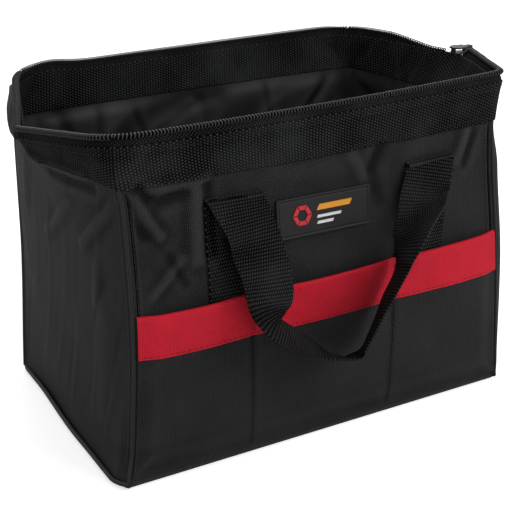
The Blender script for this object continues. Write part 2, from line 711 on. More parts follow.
def new_finish(name, place_node, place_socket, roughness, cloudy, specular, **settings):
    """Material with wear from use: its nodes, its shader's sockets, the place and the wear."""
    material = bpy.data.materials.new(name)
    material.use_nodes = True
    n = Nodes(material.node_tree)
    shader = n.tree.nodes["Principled BSDF"].inputs
    place = n.add(place_node, **settings).outputs[place_socket]
    use = n.group("Handling", {"Vector": place})
    n.link(n.sum("MULTIPLY_ADD", use["Shade"], cloudy, roughness), shader["Roughness"])
    shader["Specular IOR Level"].default_value = specular
    return n, shader, place, use


def woven(name, colour, weave, sizes, dark=0.35, light=1.5, rub=1.9, roughness=0.72,
          depth=0.00025, specular=0.5, creased=0.0):
    """Finish for cloth or webbing from a weave group. creased is how far folds catch the light."""
    n, shader, place, use = new_finish(
        name, "ShaderNodeUVMap", 0, roughness, 0.25, specular, uv_map="Cloth")
    height = n.group(weave, {"Vector": place, **sizes})["Height"]
    edge = n.add("ShaderNodeAttribute", attribute_name="edge").outputs["Fac"]
    fold = n.add("ShaderNodeAttribute", attribute_name="fold").outputs["Fac"]
    n.link(edge, use["Rub"].node.inputs["Edge"])
    factor = n.sum("MULTIPLY_ADD", use["Shade"], 1.1, height, clamp=True)
    factor = n.sum("MULTIPLY_ADD", fold, creased, factor, clamp=True)
    plain = n.mix(factor, shade(colour, dark), shade(colour, light))
    rubbed = n.sum("MULTIPLY", n.sum("MULTIPLY", use["Rub"], height), 0.6)
    n.link(n.mix(rubbed, plain, shade(colour, rub, 0.004)), shader["Base Color"])
    bump = n.add("ShaderNodeBump", {"Distance": depth, "Strength": 1.0, "Height": height})
    n.link(bump.outputs[0], shader["Normal"])


def moulded(name, colour, roughness=0.45, metallic=0.0, grain=500.0, depth=0.00004, light=1.5,
            specular=0.5):
    """Finish for moulded, cast or drawn pieces: fine grain, cloudiness and rubbed spots."""
    n, shader, place, use = new_finish(
        name, "ShaderNodeTexCoord", "Object", roughness, 0.3, specular)
    n.link(n.mix(use["Rub"], shade(colour, 0.8), shade(colour, light, 0.002)), shader["Base Color"])
    fine = n.add("ShaderNodeTexNoise", {"Vector": place, "Scale": grain, "Detail": 3.0})
    bump = n.add("ShaderNodeBump", {"Distance": depth, "Strength": 0.6, "Height": fine.outputs[0]})
    n.link(bump.outputs[0], shader["Normal"])
    shader["Metallic"].default_value = metallic


def build_finishes():
    """Every finish of the bag, made once."""
    build_plain_weave()
    build_webbing_weave()
    build_handling()
    sizes = bpy.context.scene.tool_bag_sizes
    colours = bpy.context.scene.tool_bag_colours
    weave = {"Pitch": sizes.cloth_pitch}
    woven("Black bag cloth", colours.cloth, "Plain weave", weave, dark=0.15, light=2.7,
          roughness=0.6, depth=0.00045, specular=0.1, creased=0.6)
    woven("Satin lining", colours.lining, "Plain weave", {"Pitch": 0.00035}, dark=0.3, light=1.9,
          roughness=0.45, depth=0.00002, specular=0.2, creased=0.9)
    webbing = {"Rib": sizes.webbing_rib, "Dash": sizes.webbing_dash}
    woven("Black webbing", colours.webbing, "Webbing weave", webbing, dark=0.02, light=6.2,
          roughness=0.7, depth=0.0007, specular=0.03, creased=0.3)
    woven("Zip tape weave", colours.webbing, "Webbing weave", {"Rib": 0.0015, "Dash": 0.0019},
          dark=0.02, light=5.2, roughness=0.8, depth=0.0005, specular=0.03)
    woven("Red binding cloth", colours.binding, "Plain weave", weave, dark=0.6, light=1.22,
          rub=1.05, roughness=0.7, depth=0.0003, specular=0.1, creased=0.3)
    for name, colour in (("Red thread", colours.red_thread), ("Black thread", colours.thread)):
        woven(name, colour, "Webbing weave", {"Rib": 0.0006, "Dash": 0.0009}, roughness=0.6,
              specular=0.2)
    moulded("Coil nylon", colours.coil, roughness=0.35, grain=900.0, light=2.0, specular=0.25)
    moulded("Shaded cord", colours.cord, roughness=0.8, grain=1400.0, light=1.0, specular=0.02)
    moulded("Piping vinyl", colours.piping, roughness=0.5, specular=0.25)
    moulded("Badge rubber", colours.badge, roughness=0.6, grain=1400.0, specular=0.2)
    moulded("Badge red", colours.binding, roughness=0.5, light=1.05)
    moulded("Badge amber", colours.amber, roughness=0.5, light=1.05)
    moulded("Badge white", colours.white, roughness=0.5, light=1.0)
    moulded("Board plastic", colours.board, roughness=0.6, grain=1800.0, depth=0.00012)
    moulded("Black painted metal", colours.metal, roughness=0.45, metallic=0.15, grain=300.0,
            depth=0.00002, light=2.0, specular=0.3)


def sewn(piece, body, *nodes, slot, bend=None):
    """Says what a piece is sewn to, and which CAD nodes it stands in for.

    A piece of an end is given bend, the height at which it bends between the bag and the body.
    """
    if bend is None:
        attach(piece, body)
    else:
        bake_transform(piece)
    if nodes:
        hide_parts(*nodes)


def columns(half):
    """Columns from -1 to 1, closer together near the corners."""
    flat = half - CORNER_PART
    middle = np.linspace(-flat, flat, int(2 * flat / COLUMN_PITCH) + 1)
    turn = np.linspace(flat, half, CORNER_COLUMNS)[1:]
    return np.concatenate([-turn[::-1], middle, turn]) / half


def end_columns():
    """Columns from -1 to 1 of an end, with one at the middle."""
    side = columns(END_LENGTH)
    side = side[side > 0.004]
    return np.concatenate([-side[::-1], [0.0], side])


def rows(foot, top, pitch):
    """Even places from foot to top, about a pitch apart."""
    return np.linspace(foot, top, max(int(round((top - foot) / pitch)), 2) + 1)


def skin_rows(foot):
    """Rows of a skin's cloth, which goes up behind the mouth band."""
    return np.concatenate([rows(foot, BAND_FOOT, ROW_PITCH), rows(BAND_FOOT, CLOTH_TOP, 3)[1:]])


def welt(from_seam, height, seam):
    """Relief beside a piping: the groove of the stitched seam, then the ridge of the turning."""
    ridge = 0.7 * np.exp(-(((from_seam - seam - 2.2) / 1.1) ** 2))
    valley = -1.2 * np.exp(-(((from_seam - seam) / 0.8) ** 2))
    return (ridge + valley) * (1 - ease(height, 190, BAND_FOOT)) * ease(height, 10, 20)


def lining(share, height, length, seed, seam_part):
    """Loose lining: long soft folds and shorter creases, held at the rim, foot and seams."""
    x = share * length
    long_folds = unevenness(x, height * 1.6, seed, 96)
    creases = np.abs(unevenness(x * 0.8 + height * 0.5, height, seed + 2, 41))
    wrinkles = 1.8 * long_folds - 1.6 * creases - 2.4 * crumple(x, height, seed + 5, 74)
    loose = ease(BAND_FOOT - height, 0, 12) * ease(height, 12, 30)
    return -CLOTH_THICK - 0.2 - (2.0 + wrinkles) * loose * ease(1 - np.abs(share), 0, seam_part)


def sew_wall_cloth(wall):
    piece = sheet(
        f"{wall['name']}_cloth", partial(wall_skin, wall),
        columns(WALL_HALF) * (1 + 1.0 / WALL_HALF), skin_rows(7.5),
        lambda share, height: lining(share, height, WALL_HALF, 3 + wall["side"], 0.1),
        lambda share, height: welt(
            wall_span(wall, height) / 2 * (1 - np.abs(share)), height, WALL_GROOVE),
        LINED_CLOTH, uv=lambda share, height: (share * WALL_HALF, height))
    sewn(piece, f"{wall['name']}_wall", f"{wall['name']}_panel", slot="outer_cloth")


def sew_end_cloth(end):
    for side, half in HALVES.items():
        piece = sheet(
            f"{end['name']}_cloth_{side}", partial(end_skin, end), end_columns() * 0.998,
            skin_rows(3.6),
            lambda depth, height: lining(depth, height, END_LENGTH, 6 + end["side"], 0.12),
            lambda depth, height: welt(END_LENGTH * (1 - np.abs(depth)), height, END_GROOVE),
            LINED_CLOTH, uv=lambda depth, height: (depth * END_LENGTH, height), **half)
        sewn(piece, f"{side}_wall", f"{end['name']}_end_panel", slot="outer_cloth", bend=0.12)


def foot_spread(end, y):
    """How far the foot of an end stands past the base's edge."""
    depth = np.clip(y / BASE_HALF, -1, 1)
    flare = end["front"]["flare"] * (1 - depth) / 2 + end["back"]["flare"] * (1 + depth) / 2
    return flare + foot_bow(end, depth)


def floor_skin(along, depth, out):
    """Point on the tray that the floor's cloth makes, turned up at the front and back."""
    turn = FLOOR_TURN
    flat = BASE_HALF - turn
    arc = turn * math.pi / 2
    gone = np.abs(depth) * (BASE_HALF + FLOOR_UP)
    angle = np.clip((gone - flat) / arc, 0, 1) * math.pi / 2
    rise = np.clip(gone - flat - arc, 0, None)
    on_flat = gone < flat
    y = np.sign(depth) * np.where(on_flat, gone, flat + (turn + out) * np.sin(angle))
    z = np.where(on_flat, -out, turn - (turn + out) * np.cos(angle) + rise)
    spread = np.where(along < 0, foot_spread(LEFT_END, y), foot_spread(RIGHT_END, y))
    x = along * (WALL_HALF - 1.3) + np.sign(along) * spread * ease(np.abs(along), 0.7, 1)
    front = FRONT_LEFT["flare"] * (1 - along) / 2 * ease(-y, BASE_HALF - 30, BASE_HALF)
    return np.stack([x, y - front, z], -1)


def sew_floor():
    piece = sheet("floor_cloth", floor_skin, np.linspace(-1, 1, 90), np.linspace(-1, 1, 110), -2.0,
                  0.0, LINED_CLOTH, uv=lambda along, depth: (along * WALL_HALF, depth * 102))
    sewn(piece, "bag", "bottom_panel", slot="outer_cloth")


def tape_swell(_, height):
    """Outer face of the zip tape, which rolls out under the coil."""
    return -0.15 + 1.5 * np.sin(math.pi * ease(height, 221.5, 229.5)) ** 2


def tucked_skin(end, depth, height, out):
    """Point on an end's mouth band, whose lower edge is partly folded under."""
    lift = end["tuck"] * (1 - np.abs(depth) ** 3)
    height = height + lift * np.clip(BAND_TOP - height, 0, None) / (BAND_TOP - BAND_FOOT)
    return end_skin(end, depth, height, out)


def dip_at(end, depth):
    """How far the rim of an end dips behind its tip."""
    return end["dip"] * ease(depth, -0.1, 0) * (1 - ease(depth, 0.25, 0.65))


def dipped_skin(end, depth, height, out):
    """Point on an end's zip tape, whose edge dips behind the right tip."""
    drop = dip_at(end, depth) * ease(height, CLOTH_TOP, TAPE_TOP)
    return end_skin(end, depth, height - drop, out)


def mouth_layers(wavy):
    """Layers round the mouth: kind, CAD node, slot, finish, rows, then inner and outer face."""
    return (
        ("band", "mouth_band", "webbing", "Black webbing",
         rows(BAND_FOOT, BAND_TOP, 2.1), LAYER_GAP,
         lambda u, h: 2.0 + 0.5 * ease(h, 217, BAND_TOP) + wavy(u, h) * ease(h, BAND_FOOT, 206)),
        ("facing", "mouth_facing", "webbing", "Black webbing",
         rows(BAND_FOOT, FACING_TOP, ROW_PITCH), lambda u, h: -3.6 + wavy(u, h), -2.0),
        ("tape", "zip_tape", "zip_tape", "Zip tape weave",
         rows(CLOTH_TOP - 1, TAPE_TOP, 1.2), -1.6, tape_swell))


def sew_mouth_of_wall(wall):
    def wavy(share, height):
        return 0.35 * unevenness(share * WALL_HALF, height, 5 + wall["side"], 33)

    layers = zip((0.8, 1.5, 1.2), mouth_layers(wavy))
    for past_seam, (kind, node, slot, material, *faces) in layers:
        piece = sheet(f"{wall['name']}_{kind}", partial(wall_skin, wall),
                      columns(WALL_HALF) * (1 + past_seam / WALL_HALF), *faces, [material],
                      uv=lambda share, height: (height, share * WALL_HALF))
        sewn(piece, f"{wall['name']}_wall", f"{wall['name']}_{node}", slot=slot)


def sew_mouth_of_end(end):
    ways = ((tucked_skin, 1, 0.21), (end_skin, 1.006, 0.21), (dipped_skin, 1.004, 0.22))
    for side, half in HALVES.items():
        for (skin, wide, bend), (kind, node, slot, material, *faces) in zip(
                ways, mouth_layers(lambda depth, height: 0.0)):
            piece = sheet(f"{end['name']}_{kind}_{side}", partial(skin, end), end_columns() * wide,
                          *faces, [material], uv=lambda depth, height: (height, depth * END_LENGTH),
                          **half)
            sewn(piece, f"{side}_wall", f"{end['name']}_{node}", slot=slot, bend=bend)


def square_to(vectors, axis):
    """Directions made square to an axis."""
    return unit(vectors - axis * np.sum(vectors * axis, -1, keepdims=True))


def wind_coil(name, skin, places, body, node, bend=None):
    """A zip's coil wound along a rim: an oval helix of nylon wire over a cord."""
    centre = skin(places, COIL_CENTRE, COIL_OUT)
    out = unit(skin(places, COIL_CENTRE, COIL_OUT + 1.0) - centre)
    up = square_to(skin(places, COIL_CENTRE + 1.0, COIL_OUT) - centre, out)
    tangent = unit(np.gradient(centre, axis=0))
    out, up = square_to(out, tangent), square_to(up, tangent)
    core = rings_round(centre - CORD_DROP * up, out, up, 8, CORD_HALF_WIDE, CORD_HALF_HIGH)

    sizes = bpy.context.scene.tool_bag_sizes
    wire = sizes.coil_wire / MM
    gone = lengths_along(centre)
    turns = max(int(gone[-1] / (sizes.coil_pitch / MM)), 1)
    wound = np.linspace(0, gone[-1], turns * COIL_TURN_POINTS + 1)
    angle = (2 * math.pi * wound / gone[-1] * turns)[:, None]
    # Each turn stands square to the rim and steps on to the next one underneath
    places = wound + COIL_STEP * gone[-1] / turns / (2 * math.pi) * np.cos(angle[:, 0])
    middle = picked(places, gone, centre)
    out, up = unit(picked(places, gone, out)), unit(picked(places, gone, up))
    path = (middle + out * np.cos(angle) * COIL_HALF_WIDE
            + up * np.sin(angle) * COIL_HALF_HIGH)
    tangent = unit(np.gradient(path, axis=0))
    radial = square_to(unit(path - middle), tangent)
    rings = rings_round(path, radial, np.cross(tangent, radial), 6, wire, wire)
    for piece in (tube(name, rings, "Coil nylon"), tube(f"{name}_cord", core, "Shaded cord")):
        sewn(piece, body, node, slot="zip_coil", bend=bend)


def coil_skin(end, depth, height, out):
    """Point at an end's coil, which dips with the tape's edge."""
    return end_skin(end, depth, height - dip_at(end, depth), out)


def wind_coils():
    for wall in WALLS:
        name = wall["name"]
        wind_coil(f"{name}_coil", partial(wall_skin, wall),
                  np.linspace(-RIM_REACH, RIM_REACH, 260), f"{name}_wall", f"{name}_zip_coil")
    for end in ENDS:
        skin = partial(coil_skin, end)
        for side, node, places in zip(HALVES, end["coils"], (
                np.linspace(-RIM_REACH, end["coil_stops"][0], 110),
                np.linspace(end["coil_stops"][1], RIM_REACH, 110))):
            wind_coil(f"{end['name']}_coil_{side}", skin, places, f"{side}_wall", node, bend=0.23)


def tail_skin(end, share, height, out):
    return end_skin(end, 0.52 + 0.38 * share, height, out)


def tail_face(share, height):
    up = (height - TAIL_FOOT) / (BAND_TOP - TAIL_FOOT)
    lift = 2.6 * np.sin(math.pi * share) * np.sin(math.pi * (0.15 + 0.85 * up))
    return 4.2 + lift + 0.5 * unevenness(share * 36, height, 2.0, 17)


def sew_tails():
    """Folded cloth tabs over the zip's two tails."""
    for end in ENDS:
        piece = sheet(f"{end['name']}_tail", partial(tail_skin, end), np.linspace(0, 1, 22),
                      rows(TAIL_FOOT, BAND_TOP, 1.6), 0.4, tail_face, ["Black bag cloth"],
                      uv=lambda share, height: (share * 38, height))
        sewn(piece, "back_wall", f"{end['name']}_zip_tail", slot="outer_cloth", bend=0.21)


def strap_middle(side, height):
    """Distance of a strap's middle from the wall's middle."""
    middle, lean = STRAPS[side]
    return middle + lean * (height - STRAP_LEVEL)


def strap_skin(wall, side, height, share, out):
    """Point on a strap. share runs from -1 to 1 across it."""
    across = strap_middle(side, height) + share * STRAP_HALF
    return wall_skin(wall, across / (wall_span(wall, height) / 2), height, out)


def strap_uv(length, share):
    return share * STRAP_HALF, length


def sew_straps(wall):
    for side in STRAPS:
        piece = sheet(f"{wall['name']}_webbing_{side}", partial(strap_skin, wall, side),
                      rows(STRAP_FOOT, STRAP_TOP, ROW_PITCH), STRAP_COLUMNS, LAYER_GAP, STRAP_FACE,
                      ["Black webbing"], uv=strap_uv)
        sewn(piece, f"{wall['name']}_wall", f"{wall['name']}_strap_{side}", slot="webbing")


def handle_frame(wall, place):
    """Centre and width direction of a handle at places along its hang."""
    roots = np.array([wall_point(wall, np.array(strap_middle(side, STRAP_TOP)), STRAP_TOP,
                                 STRAP_FACE + 1.5) for side in STRAPS])
    roots[:, 1] = wall["side"] * np.abs(roots[:, 1]).max()
    roots[:, 2] = roots[:, 2].mean()
    left, right = roots
    inward = np.array([0.0, -wall["side"], 0.0])
    up = np.array([0.0, 0.0, 1.0])
    stations = np.arange(len(HANG))
    share, drop, away, turn, tip = (
        smooth(stations, column, place)[..., None] for column in HANG.T)
    turn, tip = np.radians(turn), np.radians(tip)
    centre = left + (right - left) * share - inward * away - up * drop
    level = unit(right - left) * np.cos(turn) + inward * np.sin(turn)
    return centre, level * np.cos(tip) + up * np.sin(tip)


def sew_handle(wall):
    fine = np.linspace(0, len(HANG) - 1, HANG_SAMPLES)
    gone = lengths_along(handle_frame(wall, fine)[0])
    even = np.linspace(0, gone[-1], int(gone[-1] / COLUMN_PITCH) + 1)
    centre, width = handle_frame(wall, np.interp(even, gone, fine))
    face = unit(np.cross(unit(np.gradient(centre, axis=0)), width))
    longer = lengths_along(centre + width * STRAP_HALF) - lengths_along(centre)

    def at(length, share, out):
        n = np.round(np.interp(length, even, np.arange(len(even)))).astype(int)
        crown = 0.5 * (1 - share**2) * np.sin(math.pi * length / gone[-1])
        ripple = 0.35 * unevenness(length, share * 19, 2.2, 47)
        return (centre[n] + width[n] * (share * STRAP_HALF)[..., None]
                + face[n] * (out + crown + ripple)[..., None])

    def weave_place(length, share):
        # The ribs keep nearly their own spacing where the strap bends sideways
        shear = np.interp(length, even, longer - longer[len(longer) // 2])
        return share * STRAP_HALF + DOT_SHIFT, length + 0.6 * share * shear

    piece = sheet(f"{wall['name']}_carry_loop", at, even, STRAP_COLUMNS, -STRAP_THICK / 2,
                  STRAP_THICK / 2, ["Black webbing"], uv=weave_place)
    sewn(piece, f"{wall['name']}_handle", f"{wall['name']}_handle", slot="webbing")


def fold_skin(wall, side, angle, share, out):
    """Point on the fold of webbing over which a leg of a handle comes off its strap."""
    point = strap_skin(wall, side, STRAP_TOP, share, STRAP_FACE + 0.4)
    radius = FOLD_RADIUS + out
    point[..., 1] += wall["side"] * radius * -np.cos(angle)
    point[..., 2] += radius * np.sin(angle) + 0.1
    return point


def sew_handle_folds(wall):
    for side in STRAPS:
        piece = sheet(f"{wall['name']}_fold_{side}", partial(fold_skin, wall, side),
                      np.linspace(-0.3, math.pi + 0.1, 14), STRAP_COLUMNS, 0.0, STRAP_THICK,
                      ["Black webbing"], uv=lambda angle, share: strap_uv(angle * 2, share))
        sewn(piece, f"{wall['name']}_wall", slot="webbing")


def pocket_half(wall, height):
    """Half the width of a pocket panel, which stops short of the corner seams."""
    return wall_span(wall, height) / 2 - SEAM_INSET


def pocket_across(wall, column, height):
    """Distance from the wall's middle of a column. -1 and 1 are the seams between the pockets."""
    middle = POCKET_SEAM_LEFT + (POCKET_SEAM_RIGHT - POCKET_SEAM_LEFT) * (column + 1) / 2
    seam = np.where(column < 0, POCKET_SEAM_LEFT, POCKET_SEAM_RIGHT)
    edge = np.sign(column) * pocket_half(wall, height)
    outside = seam + (edge - seam) * (np.abs(column) - 1) / 2
    return np.where(np.abs(column) <= 1, middle, outside)


def pocket_lift(wall, column, height, across):
    """How far a pocket panel's inner face stands off the wall."""
    side = pocket_half(wall, height) - np.abs(across)
    rise = ease(np.minimum(side, height - POCKET_FOOT), 0, POCKET_EASE)
    over_strap = LAYER_GAP + (STRAP_THICK + 0.3) * rise
    from_centre = np.where(np.abs(column) > 1, np.abs(column) - 2, column)
    full = 1 - np.abs(from_centre) ** 2
    seam = np.exp(-(((np.abs(np.abs(column) - 1) * 52) / 2.0) ** 2))
    pouch = POCKET_POUCH * full * ease(height, POCKET_FOOT, POCKET_TOP)
    slack = 0.5 * unevenness(column * 50, height, 3.3, 60) * full
    return over_strap + pouch + slack - 0.3 * seam


def pocket_skin(wall, column, height, out):
    """Point on a pocket panel, which hangs a little out of level. out is from its inner face."""
    held = np.minimum(height, POCKET_TOP)
    across = pocket_across(wall, column, held)
    tilted = height + POCKET_TILT * across * ease(height, 40, POCKET_TOP)
    return wall_skin(wall, across / (wall_span(wall, height) / 2), tilted,
                     pocket_lift(wall, column, held, across) + out)


def binding_skin(wall, column, stage, out):
    """Point on a binding. stage is the way up its front, over the edge and down behind it."""
    over = np.clip((stage - BINDING_WIDE) / BINDING_TURN, 0, 1) * math.pi
    down = np.clip(stage - BINDING_WIDE - BINDING_TURN, 0, None)
    half = POCKET_THICK / 2 + 0.25 + out
    height = (BINDING_FOOT + 0.3 + np.minimum(stage, BINDING_WIDE) - down
              + half * np.sin(over) * 0.8)
    stand = POCKET_THICK / 2 + half * np.cos(over)
    wave = 0.25 * unevenness(column * 50, stage, 6.1, 23) * (stage < BINDING_WIDE)
    return pocket_skin(wall, column, height, stand + wave)


def pocket_uv(column, height):
    return column * 50, height


def sew_pockets(wall):
    name = wall["name"]
    side = np.linspace(1, 3, 36)
    places = np.concatenate([-side[::-1], np.linspace(-1, 1, 41)[1:-1], side])
    panel = sheet(f"{name}_pockets", partial(pocket_skin, wall), places,
                  rows(POCKET_FOOT, POCKET_TOP, 2.2), 0.0, POCKET_THICK, ["Black bag cloth"],
                  uv=pocket_uv)
    sewn(panel, f"{name}_wall", f"{name}_pocket_panel", slot="outer_cloth")
    turn = BINDING_WIDE + BINDING_TURN
    stages = np.concatenate([
        np.linspace(0, BINDING_WIDE, 13), np.linspace(BINDING_WIDE, turn, 7)[1:],
        np.linspace(turn, turn + 12, 6)[1:]])
    binding = sheet(f"{name}_binding", partial(binding_skin, wall), places, stages, 0.0, 0.7,
                    ["Red binding cloth"], uv=pocket_uv)
    sewn(binding, f"{name}_wall", f"{name}_pocket_binding", slot="red_binding")


def stitch_run(skin, us, vs, out):
    """Rings of every stitch along a line on a skin, as separate short threads."""
    us, vs = np.broadcast_arrays(np.asarray(us, float), np.asarray(vs, float))
    path = skin(us, vs, np.full(us.shape, float(out)))
    normal = unit(skin(us, vs, np.full(us.shape, out + 1.0)) - path)
    gone = lengths_along(path)
    steps = np.linspace(0, 1, len(STITCH_PROFILE))
    radius = STITCH_WIDE / 2 * STITCH_PROFILE[:, None, None]
    stitches = []
    for i in range(int(gone[-1] / (STITCH_LONG + STITCH_SPACE))):
        places = i * (STITCH_LONG + STITCH_SPACE) + steps * STITCH_LONG
        centre, face = picked(places, gone, path), unit(picked(places, gone, normal))
        side = np.cross(unit(np.gradient(centre, axis=0)), face)
        centre = centre + face * STITCH_ARCH * np.sin(math.pi * steps)[:, None]
        stitches.append(rings_round(centre, side, face, 6, radius, 0.7 * radius))
    return stitches


def joined_tubes(tubes):
    """Points and faces of several separate tubes, each given by its rings."""
    faces, start = [], 0
    for rings in tubes:
        faces += tube_faces(*rings.shape[:2], start)
        start += rings.shape[0] * rings.shape[1]
    return np.concatenate([rings.reshape(-1, 3) for rings in tubes]), faces


def stitched(name, runs, body, bend=None, thread="Black thread", slot="webbing"):
    """One piece of thread from several runs of stitches."""
    points, faces = joined_tubes([rings for run in runs for rings in run])
    piece = mesh_piece(name, points, faces, [thread], uvs=points[:, :2])
    sewn(piece, body, slot=slot, bend=bend)


def sew_wall_stitches(wall):
    skin, pocket = partial(wall_skin, wall), partial(pocket_skin, wall)
    body = f"{wall['name']}_wall"
    along = np.linspace(-0.97, 0.97, 160)
    runs = [stitch_run(skin, along, BAND_STITCHES[0], 2.0),
            stitch_run(skin, along, BAND_STITCHES[1], 3.1)]
    red_face = POCKET_THICK + 0.9
    red_runs = [stitch_run(pocket, np.linspace(-2.94, 2.94, 200), BINDING_FOOT + 1.9, red_face)]
    for seam in (-0.98, 1.02):
        runs.append(stitch_run(pocket, seam, rows(12, BINDING_FOOT, 4), POCKET_THICK))
        red_runs.append(
            stitch_run(pocket, seam, rows(BINDING_FOOT + 2, POCKET_TOP - 1, 4), red_face))
    stitched(f"{wall['name']}_binding_stitches", red_runs, body, thread="Red thread",
             slot="red_binding")
    strap_rows = rows(POCKET_TOP + 2, STRAP_TOP - 2, 5)
    runs += [stitch_run(partial(strap_skin, wall, side), strap_rows, share, STRAP_FACE)
             for side in STRAPS for share in (-0.88, 0.88)]
    runs += [stitch_run(skin, sign * (1 - 4.0 / WALL_HALF), rows(*SEAM_STITCHES, 5), 0.0)
             for sign in (-1, 1)]
    stitched(f"{wall['name']}_stitches", runs, body)


def sew_end_stitches(end):
    skin = partial(end_skin, end)
    for side, start, stop, seam in (("front", -0.96, -0.01, -0.96), ("back", 0.01, 0.96, 0.96)):
        depth = np.linspace(start, stop, 60)
        runs = [stitch_run(partial(tucked_skin, end), depth, BAND_STITCHES[0], 2.0),
                stitch_run(skin, depth, BAND_STITCHES[1], 2.4),
                stitch_run(skin, seam, rows(*SEAM_STITCHES, 5), 0.0)]
        stitched(f"{end['name']}_stitches_{side}", runs, f"{side}_wall", bend=0.2)


def badge_outline(inset):
    """Corner points of the badge's rounded outline, anticlockwise."""
    radius = max(1.6 - inset, 0.5)
    points = []
    for n, (sx, sy) in enumerate(((1, 1), (-1, 1), (-1, -1), (1, -1))):
        for angle in np.linspace(0, math.pi / 2, 10) + n * math.pi / 2:
            points.append((sx * (BADGE_WIDE / 2 - inset - radius) + radius * math.cos(angle),
                           sy * (BADGE_HIGH / 2 - inset - radius) + radius * math.sin(angle)))
    return np.array(points)


def on_badge(outline, lift):
    """Points on the badge's leaning face, so far out from its back."""
    up = np.array([0.0, math.cos(BADGE_LEAN), math.sin(BADGE_LEAN)])
    out = np.array([0.0, -math.sin(BADGE_LEAN), math.cos(BADGE_LEAN)])
    return BADGE_CENTRE + outline[:, :1] * (1.0, 0.0, 0.0) + outline[:, 1:] * up + lift * out


def raise_motif(name, outlines, material):
    """Flat shapes that stand up from the badge, with a narrow bevel."""
    tubes = []
    for outline in np.array(outlines, float):
        middle = outline.mean(0)
        tubes.append(np.array([on_badge(middle + (outline - middle) * scale, lift)
                               for scale, lift in ((1.0, 1.2), (1.0, 1.9), (0.93, 2.15))]))
    piece = mesh_piece(name, *joined_tubes(tubes), [material])
    piece.data.polygons.foreach_set("use_smooth", np.zeros(len(piece.data.polygons), bool))
    sewn(piece, "front_wall", slot="badge_rubber")


def mould_badge():
    """Rubber patch with a raised border and a plain motif of a nut beside three bars."""
    rings = [on_badge(badge_outline(inset), lift) for inset, lift in (
        (0, 0.0), (0, 1.3), (0.3, 1.6), (1.3, 1.6), (1.45, 0.9), (2.1, 0.9), (2.25, 1.3),
        (2.8, 1.35))]
    sewn(tube("badge_patch", np.array(rings), "Badge rubber"), "front_wall", "badge",
         slot="badge_rubber")
    nut = [[(-17 + radius * math.cos(math.radians(60 * side + angle)),
             1.0 + radius * math.sin(math.radians(60 * side + angle)))
            for radius, angle in ((7.2, 2), (7.2, 58), (4.0, 58), (4.0, 2))] for side in range(6)]
    raise_motif("badge_nut", nut, "Badge red")
    raise_motif("badge_bar", [[(-6, 2.6), (19, 2.6), (21, 6.4), (-4, 6.4)]], "Badge amber")
    raise_motif("badge_lines", [[(-6, y), (x, y), (x + 0.8, y + 1.8), (-5.2, y + 1.8)]
                                for x, y in ((12, -2.4), (6, -6.4))], "Badge white")


def sew_corner_piping(name, wall, sign):
    """Piping down a corner, with the turned cloth beside it and the two stitched grooves."""
    height = rows(*PIPING_HEIGHTS, 2)
    swell = PIPING_RADIUS + 0.1 * unevenness(height, 0, 1.1, 30)
    half = wall_span(wall, height) / 2
    end = wall["ends"][0 if sign < 0 else 1]
    end_groove = wall["side"] * (1 - END_GROOVE / END_LENGTH)
    for kind, path, size, material in (
            ("piping", wall_skin(wall, sign, height, 0.2), swell, "Piping vinyl"),
            ("welt", wall_skin(wall, sign * (1 - 2.0 / half), height, -0.4), swell * 0.8,
             "Black bag cloth"),
            ("seam_line", wall_skin(wall, sign * (1 - WALL_GROOVE / half), height, -0.75), 0.55,
             "Shaded cord"),
            ("seam_line_end", end_skin(end, end_groove, height, -0.65), 0.5, "Shaded cord")):
        piece = round_tube(f"{name}_{kind}", path, size, material, up=(0, 1.0, 0))
        nodes = [f"piping_{name}"] if kind == "piping" else []
        sewn(piece, f"{wall['name']}_wall", *nodes, slot="piping")


def sew_bottom_piping(end):
    y = np.linspace(-BASE_HALF - 0.4, BASE_HALF + 0.4, 90)
    turn_up = ease(np.abs(y), BASE_HALF - 7, BASE_HALF)
    x = end["side"] * (WALL_HALF + foot_spread(end, y) + 0.3 * np.sin(y / 21) - turn_up)
    front = end["front"]["flare"] * ease(-y, BASE_HALF - 30, BASE_HALF)
    path = np.stack([x, y - front, 2.9 + 0.9 * turn_up], -1)
    piece = round_tube(f"{end['name']}_bottom_piping", path, BOTTOM_PIPING_RADIUS,
                       "Piping vinyl")
    sewn(piece, "bag", f"piping_bottom_{end['name']}", slot="piping")


def finish_hard_parts():
    for node, material in (
            ("zip_slider", "Black painted metal"), ("zip_pull", "Black painted metal"),
            ("base_board", "Board plastic")):
        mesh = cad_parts[node].data
        mesh.materials.clear()
        mesh.materials.append(bpy.data.materials[material])


def placed(name, data, place=(0, 0, 0), angles=(0, 0, 0)):
    """A new object of the scene."""
    thing = bpy.data.objects.new(name, data)
    bpy.context.scene.collection.objects.link(thing)
    thing.location = place
    thing.rotation_euler = angles
    return thing


def set_camera(scene):
    camera = bpy.data.cameras.new("Camera")
    camera.sensor_width = SENSOR_WIDE
    camera.lens = FOCAL_PIXELS * SENSOR_WIDE / PICTURE_PIXELS
    scene.camera = placed("Camera", camera, CAMERA_PLACE,
                          (math.radians(CAMERA_TILT), 0, math.radians(CAMERA_TURN)))


def hang_lamps(settings):
    for name, power, place, aim, size in LAMPS:
        lamp = bpy.data.lights.new(name, "AREA")
        lamp.shape = "DISK"
        lamp.size = size
        lamp.energy = getattr(settings, power)
        x, y, z = np.array((0, 0, aim)) - np.array(place)
        placed(name, lamp, place,
               (math.atan2(math.hypot(x, y), -z), 0, math.atan2(y, x) - math.pi / 2))


